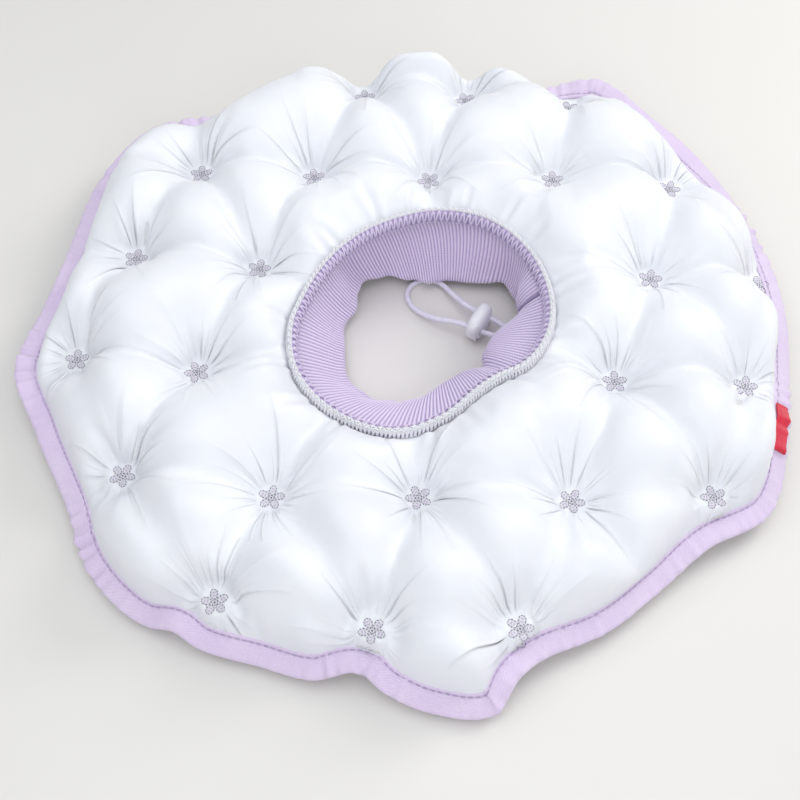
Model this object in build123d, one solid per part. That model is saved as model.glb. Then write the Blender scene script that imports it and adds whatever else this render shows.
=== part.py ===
from build123d import *

import math
import os

# A soft, padded recovery collar lying flat. Millimetres, +Z up, +Y away from the wearer's chest.
# The origin is on the surface it lies on, under the middle of its outer edge.

# Padded ring
OUTER_R = 163.0        # outside of the edge binding
RING_H = 46.0          # top of the puffs
FLAT_R = 128.0         # where the puffs start to fall towards the edge
EDGE_Z = 12.0          # height of the outer seam
PANEL_T = 1.0          # one panel's thickness, its seam allowance and quilting included
FILL_GAP = 0.2         # between the filling and each panel
BEYOND = 5.0           # how far a cutting shape runs past what it cuts

# Neck opening
NECK = (2.0, -1.0)     # middle of the neck seam
NECK_R = 54.0          # middle of the overlocked edge
NECK_Z = 31.0          # where the panels meet at the neck
NECK_FLARE_R = 76.0    # where the opening reaches the top and the base of the puffs
NECK_GAP = 0.3         # between the overlocked edge and the padding
NECK_HOLLOW = 4.4      # how far behind the seam the padding stands, at NECK_HOLLOW_Z
NECK_HOLLOW_Z = 12.0
NECK_BROW = 5.4        # and above it, at NECK_BROW_Z
NECK_BROW_Z = 42.0

# Binding round the outer edge
BINDING_W = 8.0
BINDING_T = 5.2
BINDING_ROUND = 1.4
GROOVE_CLEAR = 0.05    # between the panels' flat edges and the fold of the binding
PUFF_EDGE_R = OUTER_R - BINDING_W - 1.0    # where the puffs end, beside the binding
FLANGE_IN_R = PUFF_EDGE_R - 1.0            # the panels' flat edges run from here into the binding
FLANGE_OUT_R = OUTER_R - 1.0
STITCH_IN = 6.6        # from the binding's outside to its line of stitches
STITCH = 0.5           # thread of that line

# Tufts, row by row: x and y of each
TUFT_PLACES = [
    (-22.0, 132.0), (26.0, 130.0), (75.5, 128.0),
    (-95.0, 80.5), (-44.0, 77.5), (7.5, 75.5), (63.0, 76.0), (116.0, 74.0),
    (-118.0, 31.0), (-65.0, 25.0), (100.0, 19.5), (147.0, 21.0),
    (-136.0, -19.0), (-86.0, -27.5), (79.5, -32.0), (132.0, -32.0),
    (-110.0, -72.5), (-53.0, -83.0), (1.5, -83.0), (58.0, -84.5), (112.0, -81.0),
    (-71.0, -122.0), (-15.0, -133.0), (36.5, -132.0),
]
TUFT_MID_Z = 20.0      # middle of a tuft's thread, near the neck
TUFT_EDGE_Z = 13.5     # and close to the outer seam
TUFT_DROP_R = 120.0    # the tufts get lower from this radius
TUFT_LOW_R = 150.0     # to this one
TUFT_HALF = 3.0        # half of the thickness that a tuft pulls the padding down to
PIT_R = 6.1
PIT_MOUTH_R = 16.5     # of the funnel down to a tuft from above
PIT_BASE_R = 12.5      # and of the one up to it from below
SHANK_R = 0.6
SHANK_HOLE_R = 0.75
PETAL_R = 2.1
PETAL_OUT = 3.6        # from the flower's middle to the middle of a petal
PETAL_HOLE_R = 0.55
FLOWER_T = 0.8
FLOWER_EYE_R = 1.7
PETALS = 5

# Knitted cuff, a funnel from the neck seam down to its hem
HEM = (8.0, 2.5)       # middle of the hem
HEM_R = 36.5
HEM_Z = 5.4
HEM_BEAD_R = 2.9
HEM_TUNNEL_R = 1.5
CUFF_TOP_Z = 30.5
CUFF_TOP_R = 52.2
CUFF_T = 2.0
SIDE_SEAM_R = 0.7
SIDE_SEAM_TURN = math.radians(9)
SIDE_SEAM_CLEAR = 1.3  # from the cuff's inner face to the ridge of its side seam
SIDE_SEAM_START = 0.2  # share of the cuff's height where the ridge starts, above the hem
OVERLOCK_IN_R = 52.5
OVERLOCK_OUT_R = 55.8
OVERLOCK_LOW_Z = 27.5
OVERLOCK_TOP_Z = 36.0
OVERLOCK_ROUND = 1.2

# Drawcord and its lock. The lock slides along its own +U, towards the loop's end.
CORD_D = 2.4
CORD_HOLE_R = 1.45
HEM_CORD_GAP = 4.0     # degrees of the hem that its cord leaves free each side of the exits
LOCK = (28.5, 9.7, 7.0)      # middle of the lock, on the line between its cord holes
LOCK_TURN = 150.0            # degrees from +X to the lock's +U
STRAND_OUT = 4.3             # each strand's distance from the lock's middle
CORD_ROUTE = [
    (44.4, 4.1, 5.4),
    (36.3, 10.2, 7.0),
    (25.0, 16.7, 7.0),
    (17.4, 26.6, 4.6),
    (12.5, 35.0, 2.3),
    (5.7, 37.4, 1.4),
    (-0.7, 34.2, 1.25),
    (-2.9, 27.3, 1.25),
    (1.2, 19.6, 1.6),
    (10.3, 12.8, 4.2),
    (20.3, 9.5, 7.0),
    (32.0, 2.7, 7.0),
    (44.4, 0.9, 5.4),
]

ARC_SHARE = 0.45       # of the shorter run beside a bend of the cord, taken by the bend

BARREL_W = 16.0
BARREL_T = 7.0
BARREL_TOP = 6.0
BARREL_LOW = -4.2
BARREL_ROUND = 1.6
BARREL_CORNER = 4.9
WELL_W = 12.4          # pocket for the button, open below
WELL_T = 4.2
WELL_TOP = 4.8
WELL_CORNER = 1.0
WELL_CLEAR = 0.15
BUTTON_TRAVEL = 2.0
BUTTON_TOP = 2.5
BUTTON_LOW = -6.7
BUTTON_CORNER = 1.2
SLOT_R = 1.45
SPRING_WELL_R = 1.7
SPRING_LOW = -2.4
SPRING_R = 1.3
SPRING_WIRE_R = 0.2
SPRING_TURNS = 6
SPRING_CLEAR = 0.05

# Side label, folded flat on top of the binding
LABEL_TURN = -18.0
LABEL_L = 21.0
LABEL_W = 4.5
LABEL_T = 0.8
LABEL_IN_R = 157.0
LABEL_ROUND = 0.3
LABEL_GAP = 0.05

STANDING = (Align.CENTER, Align.CENTER, Align.MIN)


def write(solid, name):
    export_step(solid, f"parts/{name}.step")


def cylinder(radius, low, high, x=0.0, y=0.0):
    return Pos(x, y, low) * Cylinder(radius, high - low, align=STANDING)


def turned(edges):
    """Turn a closed outline in the XZ plane about +Z."""
    return revolve(make_face(edges), Axis.Z)


def tuft_mid(radius):
    """Height of a tuft's middle at a distance from the collar's middle."""
    share = (radius - TUFT_DROP_R) / (TUFT_LOW_R - TUFT_DROP_R)
    return TUFT_MID_Z + (TUFT_EDGE_Z - TUFT_MID_Z) * min(max(share, 0.0), 1.0)


TUFTS = [(x, y, tuft_mid(math.hypot(x, y))) for x, y in TUFT_PLACES]


def puffed_disc(inset):
    """The padding's outer form without its neck: flat top and base, and a rounded edge."""
    edge_r = PUFF_EDGE_R - inset
    top, low = RING_H - inset, inset
    outline = [
        Line((0, 0, low), (FLAT_R, 0, low)),
        TangentArc((FLAT_R, 0, low), (edge_r, 0, EDGE_Z), tangent=(1, 0, 0)),
        TangentArc((FLAT_R, 0, top), (edge_r, 0, EDGE_Z), tangent=(1, 0, 0)),
        Line((FLAT_R, 0, top), (0, 0, top)),
        Line((0, 0, top), (0, 0, low)),
    ]
    return turned(outline)


def neck_cutter(inset):
    """What the neck takes out of the disc: narrowest at the seam, and opening out above and below."""
    waist = OVERLOCK_OUT_R + NECK_GAP + inset
    flare = NECK_FLARE_R + inset
    low, top = -1, RING_H + 1
    outline = [
        Line((0, 0, low), (flare, 0, low)),
        ThreePointArc((flare, 0, low), (waist + NECK_HOLLOW, 0, NECK_HOLLOW_Z), (waist, 0, NECK_Z)),
        ThreePointArc((waist, 0, NECK_Z), (waist + NECK_BROW, 0, NECK_BROW_Z), (flare, 0, top)),
        Line((flare, 0, top), (0, 0, top)),
        Line((0, 0, top), (0, 0, low)),
    ]
    return Pos(*NECK, 0) * turned(outline)


def pits(inset):
    """A funnel down to each tuft from above, and one up to it from below."""
    found = []
    bottom_r = PIT_R + inset
    for x, y, mid in TUFTS:
        top = mid + TUFT_HALF - inset
        low = mid - TUFT_HALF + inset
        upper = Cone(bottom_r, PIT_MOUTH_R + inset, RING_H + 1 - top, align=STANDING)
        lower = Cone(PIT_BASE_R + inset, bottom_r, low + 1, align=STANDING)
        found.append(Pos(x, y, top) * upper)
        found.append(Pos(x, y, -1) * lower)
    return found


def padding(inset):
    return puffed_disc(inset) - neck_cutter(inset) - pits(inset)


def upper_space():
    """All that is on the front panel's side of the seams and of the tufts' middles."""
    edge = OUTER_R + BEYOND
    outline = [
        Polyline(
            (0, 0, TUFT_MID_Z),
            (TUFT_DROP_R, 0, TUFT_MID_Z),
            (TUFT_LOW_R, 0, TUFT_EDGE_Z),
            (OUTER_R - BINDING_W, 0, EDGE_Z),
            (edge, 0, EDGE_Z),
            (edge, 0, RING_H + BEYOND),
            (0, 0, RING_H + BEYOND),
            (0, 0, TUFT_MID_Z),
        )
    ]
    return turned(outline) - cylinder(OVERLOCK_OUT_R + BEYOND, 0, NECK_Z, *NECK)


def shank_holes():
    return [cylinder(SHANK_HOLE_R, -1, RING_H, x, y) for x, y, _ in TUFTS]


def make_panels():
    flange = cylinder(FLANGE_OUT_R, EDGE_Z - PANEL_T, EDGE_Z + PANEL_T)
    flange -= cylinder(FLANGE_IN_R, 0, RING_H)
    skins = padding(0) + flange - padding(PANEL_T) - shank_holes()
    above = upper_space()
    write(skins & above, "front_panel")
    write(skins - above, "back_panel")


def make_fill():
    write(padding(PANEL_T + FILL_GAP) - shank_holes(), "fibre_fill")


def make_binding():
    inner_r = OUTER_R - BINDING_W
    low, top = EDGE_Z - BINDING_T / 2, EDGE_Z + BINDING_T / 2
    tape = cylinder(OUTER_R, low, top) - cylinder(inner_r, low - 1, top + 1)
    tape = fillet(tape.edges().filter_by(GeomType.CIRCLE).sort_by(lambda e: e.radius)[-2:], BINDING_ROUND)
    groove_half = PANEL_T + GROOVE_CLEAR
    groove = cylinder(FLANGE_OUT_R + GROOVE_CLEAR, EDGE_Z - groove_half, EDGE_Z + groove_half)
    write(tape - groove, "edge_binding")
    middle_r = OUTER_R - STITCH_IN
    line = cylinder(middle_r + STITCH / 2, 0, STITCH) - cylinder(middle_r - STITCH / 2, -1, STITCH + 1)
    write(Compound(children=[Pos(0, 0, top) * line, Pos(0, 0, low - STITCH) * line]), "binding_stitching")


def make_label():
    """A ribbon folded in two, caught at the inner edge of the binding and lying on it."""
    ribbon = Box(LABEL_W, LABEL_L, LABEL_T, align=(Align.MIN, Align.CENTER, Align.MIN))
    ribbon = fillet(ribbon.edges().filter_by(Axis.Y), LABEL_ROUND)
    top = EDGE_Z + BINDING_T / 2 + LABEL_GAP
    write(Rot(0, 0, LABEL_TURN) * Pos(LABEL_IN_R, 0, top) * ribbon, "side_label")


def hem_place(turn, radius, z):
    return (HEM[0] + radius * math.cos(turn), HEM[1] + radius * math.sin(turn), z)


def funnel(top_r, low_r, low_z):
    top = Pos(*NECK, CUFF_TOP_Z) * Circle(top_r)
    low = Pos(*HEM, low_z) * Circle(low_r)
    return loft([low, top], ruled=True)


def route_run(first, second, radius):
    """A straight bar between two points of the cord's route."""
    a, b = Vector(*first), Vector(*second)
    return Solid.make_cylinder(radius, (b - a).length, Plane(origin=a, z_dir=b - a))


def make_cuff():
    outside = funnel(CUFF_TOP_R, HEM_R + CUFF_T / 2, HEM_Z)
    wall = outside - funnel(CUFF_TOP_R - CUFF_T, HEM_R - CUFF_T / 2, HEM_Z)
    bead = Pos(*HEM, HEM_Z) * Torus(HEM_R, HEM_BEAD_R)
    tunnel = Pos(*HEM, HEM_Z) * Torus(HEM_R, HEM_TUNNEL_R)
    exits = [
        route_run(CORD_ROUTE[0], CORD_ROUTE[1], CORD_HOLE_R),
        route_run(CORD_ROUTE[-1], CORD_ROUTE[-2], CORD_HOLE_R),
    ]
    write(wall + bead - tunnel - exits, "rib_cuff")

    seam_in = CUFF_T + SIDE_SEAM_CLEAR
    low = hem_place(SIDE_SEAM_TURN, HEM_R + CUFF_T / 2, HEM_Z)
    top = (
        NECK[0] + CUFF_TOP_R * math.cos(SIDE_SEAM_TURN),
        NECK[1] + CUFF_TOP_R * math.sin(SIDE_SEAM_TURN),
        CUFF_TOP_Z,
    )
    inward = Vector(-math.cos(SIDE_SEAM_TURN), -math.sin(SIDE_SEAM_TURN), 0) * seam_in
    start = Vector(*low) + (Vector(*top) - Vector(*low)) * SIDE_SEAM_START + inward
    end = Vector(*top) + inward
    write(route_run(tuple(start), tuple(end), SIDE_SEAM_R), "cuff_side_seam")


def make_overlock():
    low, top = OVERLOCK_LOW_Z, OVERLOCK_TOP_Z
    ring = cylinder(OVERLOCK_OUT_R, low, top) - cylinder(OVERLOCK_IN_R, low - 1, top + 1)
    ring = fillet(ring.edges().filter_by(GeomType.CIRCLE).group_by(Axis.Z)[-1], OVERLOCK_ROUND)
    write(Pos(*NECK, 0) * ring, "cuff_overlock_seam")


def make_flower():
    """Five ringed petals round an eye, flat, with its base at zero."""
    flower = cylinder(FLOWER_EYE_R, 0, FLOWER_T)
    for n in range(PETALS):
        petal = cylinder(PETAL_R, 0, FLOWER_T) - cylinder(PETAL_HOLE_R, -1, FLOWER_T + 1)
        flower += Rot(0, 0, 90 + 360 * n / PETALS) * Pos(PETAL_OUT, 0, 0) * petal
    return flower


def make_tufts():
    flower = make_flower()
    for number, (x, y, mid) in enumerate(TUFTS, start=1):
        front = Pos(x, y, mid + TUFT_HALF) * flower
        back = Pos(x, y, mid - TUFT_HALF - FLOWER_T) * flower
        shank = cylinder(SHANK_R, mid - TUFT_HALF, mid + TUFT_HALF, x, y)
        write(front + shank + back, f"tuft_{number:02d}")


def make_hem_cord():
    section = Pos(HEM_R, 0, 0) * Rot(90, 0, 0) * Circle(CORD_D / 2)
    ring = revolve(section, Axis.Z, revolution_arc=360 - 2 * HEM_CORD_GAP)
    write(Pos(*HEM, HEM_Z) * Rot(0, 0, HEM_CORD_GAP) * ring, "drawcord_in_hem")


def cord_radii(route):
    """Each arc is as large as the two runs beside it allow."""
    points = [Vector(*p) for p in route]
    radii = []
    for a, b, c in zip(points, points[1:], points[2:]):
        turn = (b - a).get_angle(c - b)
        run = min((b - a).length, (c - b).length)
        radii.append(ARC_SHARE * run / math.tan(math.radians(turn / 2)))
    return radii


def make_cord():
    radii = cord_radii(CORD_ROUTE)
    path = FilletPolyline(*CORD_ROUTE, radius=radii)
    section = Plane(origin=path @ 0, z_dir=path % 0) * Circle(CORD_D / 2)
    cord = sweep(section, path)
    section_area = math.pi * CORD_D**2 / 4
    print("cord radii", [round(r, 1) for r in radii])
    print("cord length", round(path.length, 1), "volume", round(cord.volume, 1))
    print("section times length", round(section_area * path.length, 1))
    write(cord, "drawcord_loop")


def at_lock(solid):
    return Pos(*LOCK) * Rot(0, 0, LOCK_TURN) * solid


def lock_block(thick, width, low, top, corner):
    """A rounded block in the lock's own frame: U through it, V along its width."""
    outline = Pos(0, (low + top) / 2) * RectangleRounded(width, top - low, corner)
    return extrude(Plane.YZ * outline, thick / 2, both=True)


def cord_bores(radius, low=0.0, top=0.0):
    """Holes along U for both strands; low and top stretch them into slots."""
    bores = []
    for side in (-1, 1):
        outline = Circle(radius)
        if top > low:
            outline = SlotCenterToCenter(top - low, 2 * radius, rotation=90)
        place = Pos(side * STRAND_OUT, (low + top) / 2)
        bores.append(extrude(Plane.YZ * place * outline, BARREL_T, both=True))
    return bores


def make_lock():
    barrel = lock_block(BARREL_T, BARREL_W, BARREL_LOW, BARREL_TOP, BARREL_CORNER)
    faces = barrel.faces().sort_by(Axis.X)
    barrel = fillet(faces[0].edges() + faces[-1].edges(), BARREL_ROUND)
    well = lock_block(WELL_T, WELL_W, BARREL_LOW - BEYOND, WELL_TOP, WELL_CORNER)
    write(at_lock(barrel - well - cord_bores(CORD_HOLE_R)), "lock_barrel")

    thick, width = WELL_T - 2 * WELL_CLEAR, WELL_W - 2 * WELL_CLEAR
    button = lock_block(thick, width, BUTTON_LOW, BUTTON_TOP, BUTTON_CORNER)
    button -= cord_bores(SLOT_R, -BUTTON_TRAVEL, 0.0)
    button -= cylinder(SPRING_WELL_R, SPRING_LOW, BUTTON_TOP + 1)
    write(at_lock(button), "lock_plunger")


def make_spring():
    low = SPRING_LOW + SPRING_CLEAR + SPRING_WIRE_R
    top = WELL_TOP - SPRING_CLEAR - SPRING_WIRE_R
    path = Helix((top - low) / SPRING_TURNS, top - low, SPRING_R)
    section = Plane(origin=path @ 0, z_dir=path % 0) * Circle(SPRING_WIRE_R)
    write(at_lock(Pos(0, 0, low) * sweep(section, path)), "lock_spring")


os.makedirs("parts", exist_ok=True)
make_panels()
make_fill()
make_binding()
make_label()
make_cuff()
make_overlock()
make_tufts()
make_hem_cord()
make_cord()
make_lock()
make_spring()
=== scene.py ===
import math

import bpy
import numpy as np
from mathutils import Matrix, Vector
from mathutils.geometry import delaunay_2d_cdt


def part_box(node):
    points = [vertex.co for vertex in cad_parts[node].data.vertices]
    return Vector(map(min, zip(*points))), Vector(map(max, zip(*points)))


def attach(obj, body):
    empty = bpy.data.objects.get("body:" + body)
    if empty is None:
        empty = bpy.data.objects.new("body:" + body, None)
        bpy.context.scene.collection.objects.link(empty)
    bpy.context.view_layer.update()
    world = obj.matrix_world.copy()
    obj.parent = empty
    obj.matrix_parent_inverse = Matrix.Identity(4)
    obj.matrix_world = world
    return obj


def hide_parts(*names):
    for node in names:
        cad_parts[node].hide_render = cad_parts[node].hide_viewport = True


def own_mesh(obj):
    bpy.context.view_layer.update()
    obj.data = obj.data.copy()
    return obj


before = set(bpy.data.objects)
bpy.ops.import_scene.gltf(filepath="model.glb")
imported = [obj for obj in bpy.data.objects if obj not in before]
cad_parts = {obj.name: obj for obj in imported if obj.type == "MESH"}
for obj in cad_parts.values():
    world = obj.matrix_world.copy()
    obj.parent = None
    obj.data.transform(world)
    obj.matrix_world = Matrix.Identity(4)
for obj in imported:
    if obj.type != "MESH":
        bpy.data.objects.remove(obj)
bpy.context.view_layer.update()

# A padded collar with a knitted cuff and a drawcord, lying on a table.
# Lengths are millimetres until something is added to the scene. Turns are degrees from +X in these
# values, and radians in the functions. Heights are from the table.

MM = 0.001
FULL = 2 * math.pi
UP = np.array([0.0, 0.0, 1.0])

# Camera
AIM = np.array([-5.35, -25.5, 0.0])
CAMERA_FAR = 445.0
CAMERA_RISE = math.radians(58)
LENS = 48.05

# The outer fold of the edge binding: turn, radius, height, and how far the tape hangs outwards, in degrees
EDGE = [
    (-173, 164, 14, -8), (-163, 158, 9, 8), (-150, 155, 6, 20), (-141, 160, 5, 24), (-133, 161, 5, 26),
    (-128, 159, 4, 30), (-124, 155.5, 8, 12), (-120, 155, 5, 26), (-112, 151, 4, 30), (-104, 150, 5, 28),
    (-98, 146, 10, 4), (-94, 151, 6, 20), (-88, 157, 4, 26), (-80, 160, 4, 30), (-76, 151, 10, 6),
    (-71, 146, 8, 20), (-62, 146, 6, 28), (-51, 144.5, 6, 28), (-41, 147, 9, 14), (-31, 159, 7, 26),
    (-20, 157, 9, 34), (-8, 155.5, 10, 36), (2, 158, 11, 34), (11, 160, 12, 30), (21, 161, 13, 36),
    (36, 162, 19, 2), (47, 165, 20, -12), (57, 169.5, 22, -16), (61, 165, 20, -12), (67, 158, 12, 18),
    (75, 155, 7, 40), (84, 152.5, 5, 50), (104, 151.5, 5, 50), (118, 152.5, 8, 38), (124, 154, 13, 14),
    (129, 155, 19, -8), (137, 167, 18, -12), (148, 166, 16, -6), (164, 157, 14, 2), (176, 157, 14, 0),
]
TAPE_W = 10.0
TAPE_HALF = 1.5
TAPE_LIP = 2.0          # from the tape's inner edge to its stitches
TAPE_HOLD = 8.4         # how far inside the fold the panels are held
TOPSTITCH_PITCH = 2.7
TOPSTITCH_GAP = 0.5
# Where the tape is gathered: turn and width, in degrees
GATHERS = [
    (-173, 9), (-144, 8), (-98, 6), (-74, 7), (-41, 8), (-12, 8), (22, 8), (66, 8), (129, 7), (150, 8),
]

# The neck seam: turn, radius, height of the overlocked edge
NECK = (2.0, -1.0)
SEAM = [
    (-170, 51, 33), (-145, 57, 32), (-120, 59, 31), (-98, 58, 31), (-80, 53, 33), (-64, 47.5, 35),
    (-50, 47, 36), (-36, 51, 36), (-15, 53, 35), (10, 53, 35), (35, 52.5, 36), (55, 51.5, 36.5),
    (70, 49, 37), (85, 46.3, 37), (98, 43.8, 37), (117, 41.8, 37), (143, 42, 36), (163, 44, 35),
    (178, 47, 34),
]
# The cuff's hem, and its wall half way down, which hangs over the hem where the cord comes out
HEM = (8.0, 2.5)
HEM_RING = [
    (-170, 38.5, 6), (-150, 40.5, 6.5), (-128, 41, 6.5), (-108, 34.5, 5.5), (-88, 33, 5.4),
    (-60, 35, 5.4), (-30, 36.5, 5.4), (0, 36.5, 5.4), (16, 41, 6), (29, 43, 7), (42, 42.5, 8),
    (50, 37.5, 7), (62, 34.5, 6), (90, 32.5, 6), (112, 35.5, 6.5), (130, 39, 7.5), (146, 40.5, 9),
    (156, 36.5, 7), (168, 37.5, 6),
]
WAIST = (5.0, 0.7)
WAIST_RING = [
    (-170, 44.5, 19), (-150, 48, 18), (-125, 46, 17.5), (-100, 38, 17), (-80, 30.5, 17.5), (-62, 28, 18),
    (-50, 29.5, 18), (-42, 31.5, 17.5), (-35, 28, 18.5), (-22, 27.6, 18), (-10, 29, 17), (-2, 32, 17),
    (8, 39.5, 18.5), (19, 41, 19), (29, 46.5, 21), (40, 48, 22), (60, 44, 22), (85, 42, 22),
    (115, 42.5, 22), (140, 45, 22), (152, 41, 20), (168, 43, 20),
]
RIBS = 186
POINTS_PER_RIB = 6
RIB_H = 0.42
CUFF_T = 1.9            # the thickness of the two layers of knit
CUFF_GAP = 1.6          # from the cuff to the padding
SIDE_SEAM_TURN = 9.0
OVERLOCK_STITCHES = 118
POINTS_PER_STITCH = 8
OVERLOCK_MIDDLE = (-0.4, -2.4)        # the middle of its section, out from the seam's edge and up

# Puffs
PATCH_R = 5.2           # flat stitched patch at each tuft
PATCH_RINGS = ((1.9, 6), (3.7, 12), (PATCH_R, 20))     # radius and number of points
PATCH_HALF = 3.0
PATCH_DISH = 0.35       # how much higher the patch is at its rim than in its middle
REST_Z = 1.2            # the cloth's middle, where it lies on the table
CROWN = 39.5            # height of a puff's middle before it is blown up
FUNNEL = 12.0           # how far from a tuft the cloth has risen most of the way
OUTER_ROLL = 32.0       # from the padding's outer edge to the full height of its puffs
FAR_ROLL = 8.0          # the same at the back, where they stand up over the tape
SIDE_ROLL = 11.0        # at the label's side
NECK_ROLL = 22.0        # and from the neck seam
FAR_SIDE = (95, 34)     # the middle turn of the back, and how far it reaches to each side
LABEL_SIDE = (-10, 26)
FAR_ROW = 110           # the tufts beyond this Y are the back row
FAR_STEEPER = 5.0       # how much smaller FUNNEL is beyond the back row
FAR_RISE = 4.0          # how much higher the puffs stand along part of the back edge
RISE_SIDE = (72, 22)    # the middle turn of that part, and its reach
RISE_START = (122, 138)
VALLEY_DEPTH = 0.36     # how much lower the cloth is on the lines between neighbouring tufts
VALLEY_W = 7.0
NEIGHBOUR = 64.0        # tufts nearer than this have a line between them
TO_OUTER = 36.0         # tufts nearer than this to the outer edge have a line to it
TO_INNER = 42.0         # and to the neck seam
JITTER = 0.14           # how far the cloth's points are off a regular lattice, as a share of its step
OUTER_R = 150.0         # about the radius of the quilt's outer edge, and of its inner edge
INNER_R = 54.0
PLAN_HALF = 172.0       # half the side of a square round the whole quilt
PUFF_STEP = 2.2         # about the length of the sides of the cloth's triangles
SIM_FRAMES = 24
SIM_SCALE = 10.0        # the cloth solver works best on pieces a metre or more across
RELAX_ROUNDS = 3
SPARE_CLOTH = 0.09      # extra cloth between the tufts, as a share of its length
# The cloth solver's settings
CLOTH = {
    "quality": 6, "mass": 0.3, "air_damping": 2, "tension_stiffness": 40, "compression_stiffness": 20,
    "shear_stiffness": 20, "bending_stiffness": 0.03, "tension_damping": 5, "compression_damping": 5,
    "shear_damping": 5, "bending_damping": 0.2, "vertex_group_mass": "held", "pin_stiffness": 1,
    "use_pressure": True, "uniform_pressure_force": 18.0, "vertex_group_shrink": "ease",
    "shrink_min": -SPARE_CLOTH, "shrink_max": 0.0,
}
CREASE_REACH = 30.0     # the longest of the thin folds that run out from a tuft
NECK_FOLDS = 22         # how many run out from the neck seam
FILL_INSET = 1.3        # how much smaller the fibre is than the cloth round it
FLOWER_SIZE = 0.93
PETALS = 5
PETAL_OUT = 3.3         # from the flower's middle to the middle of a petal
# The rings of stitches: half their length and width, how many stitches, and the thread's radius
PETAL_RINGS = ((1.95, 1.5, 9, 0.15), (0.75, 0.4, 4, 0.1))
EYE_RING = (1.15, 1.15, 7, 0.14)

# The label
LABEL_TURN = -18.0
LABEL_LENGTH = 21.0
LABEL_T = 0.35

# The drawcord, as in the CAD model
CORD_D = 2.4
CORD_ROUTE = [
    (44.4, 4.1, 5.4), (36.3, 10.2, 7.0), (25.0, 16.7, 7.0), (17.4, 26.6, 4.6), (12.5, 35.0, 2.3),
    (5.7, 37.4, 1.4), (-0.7, 34.2, 1.25), (-2.9, 27.3, 1.25), (1.2, 19.6, 1.6), (10.3, 12.8, 4.2),
    (20.3, 9.5, 7.0), (32.0, 2.7, 7.0), (44.4, 0.9, 5.4),
]
LOCK_SIDE = (0.5, 0.8660254, 0.0)     # across the two strands
LOCK_ANCHOR = (26.35, 5.98, 7.0)      # on the near strand, at the lock
WELL = (2.1, 6.2, 4.8)                # half the well's sizes through and across the lock, and its top
DOME_SIZE = (3.6, 8.2, 5.7)           # the barrel's half thickness and width, and its height above DOME_LOW
DOME_LOW = 0.5                        # above the middles of the bores
BARREL_STEP = 0.28                    # the size of the faces of the barrel's mesh
SPRING_TURNS = 6
SPRING_WIRE_R = 0.2


# ------------------------------------------------------------------ curves and meshes


class Ring:
    """A closed curve round a centre, through (turn, radius, further values...) points."""

    def __init__(self, centre, points):
        table = np.array(sorted(points), float)
        self.centre = np.array(centre, float)
        self.turns = np.radians(table[:, 0])
        self.values = table[:, 1:]

    def at(self, turn):
        """The radius and further values at each turn, by a cubic through the points on both sides."""
        turns = np.concatenate([self.turns[-2:] - FULL, self.turns, self.turns[:2] + FULL])
        values = np.concatenate([self.values[-2:], self.values, self.values[:2]])
        turn = (np.atleast_1d(turn) - self.turns[0]) % FULL + self.turns[0]
        i = np.clip(np.searchsorted(turns, turn, side="right") - 1, 1, len(turns) - 3)
        span = (turns[i + 1] - turns[i])[:, None]
        t = (turn - turns[i])[:, None] / span
        leaving = (values[i + 1] - values[i - 1]) / (turns[i + 1] - turns[i - 1])[:, None] * span
        coming = (values[i + 2] - values[i]) / (turns[i + 2] - turns[i])[:, None] * span
        start = (2 * t**3 - 3 * t**2 + 1) * values[i] + (t**3 - 2 * t**2 + t) * leaving
        return start + (3 * t**2 - 2 * t**3) * values[i + 1] + (t**3 - t**2) * coming

    def points(self, turn):
        """Points in space. The value after the radius is the height."""
        turn = np.atleast_1d(turn)
        found = self.at(turn)
        x = self.centre[0] + found[:, 0] * np.cos(turn)
        y = self.centre[1] + found[:, 0] * np.sin(turn)
        return np.column_stack([x, y, found[:, 1]])


def unit(vectors):
    return vectors / np.maximum(np.linalg.norm(vectors, axis=-1, keepdims=True), 1e-9)


def smooth_step(value, low, high):
    t = np.clip((value - low) / (high - low), 0, 1)
    return t * t * (3 - 2 * t)


def bump_at(value, middle, width, power=2):
    """1 at the middle, and close to 0 beyond the width."""
    return np.exp(-(((value - middle) / width) ** power))


def outward_at(turn):
    """The level direction at each turn."""
    return np.column_stack([np.cos(turn), np.sin(turn), 0 * turn])


def polar(points, centre=(0.0, 0.0)):
    """Each point's distance from a centre in plan, and its turn round it."""
    x, y = points[..., 0] - centre[0], points[..., 1] - centre[1]
    return np.hypot(x, y), np.arctan2(y, x)


def add_object(name, data):
    thing = bpy.data.objects.new(name, data)
    bpy.context.scene.collection.objects.link(thing)
    return thing


def plain_mesh(name, points, faces):
    """A mesh from points in metres."""
    mesh = bpy.data.meshes.new(name)
    mesh.from_pydata(points.tolist(), [], faces.tolist())
    return mesh


def values_of(items, name, width, kind=float):
    """A value of each of a mesh's vertices or corners, as rows of numbers."""
    found = np.empty(len(items) * width, kind)
    items.foreach_get(name, found)
    return found.reshape(-1, width)


def evaluated(piece):
    return piece.evaluated_get(bpy.context.evaluated_depsgraph_get()).data


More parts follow.
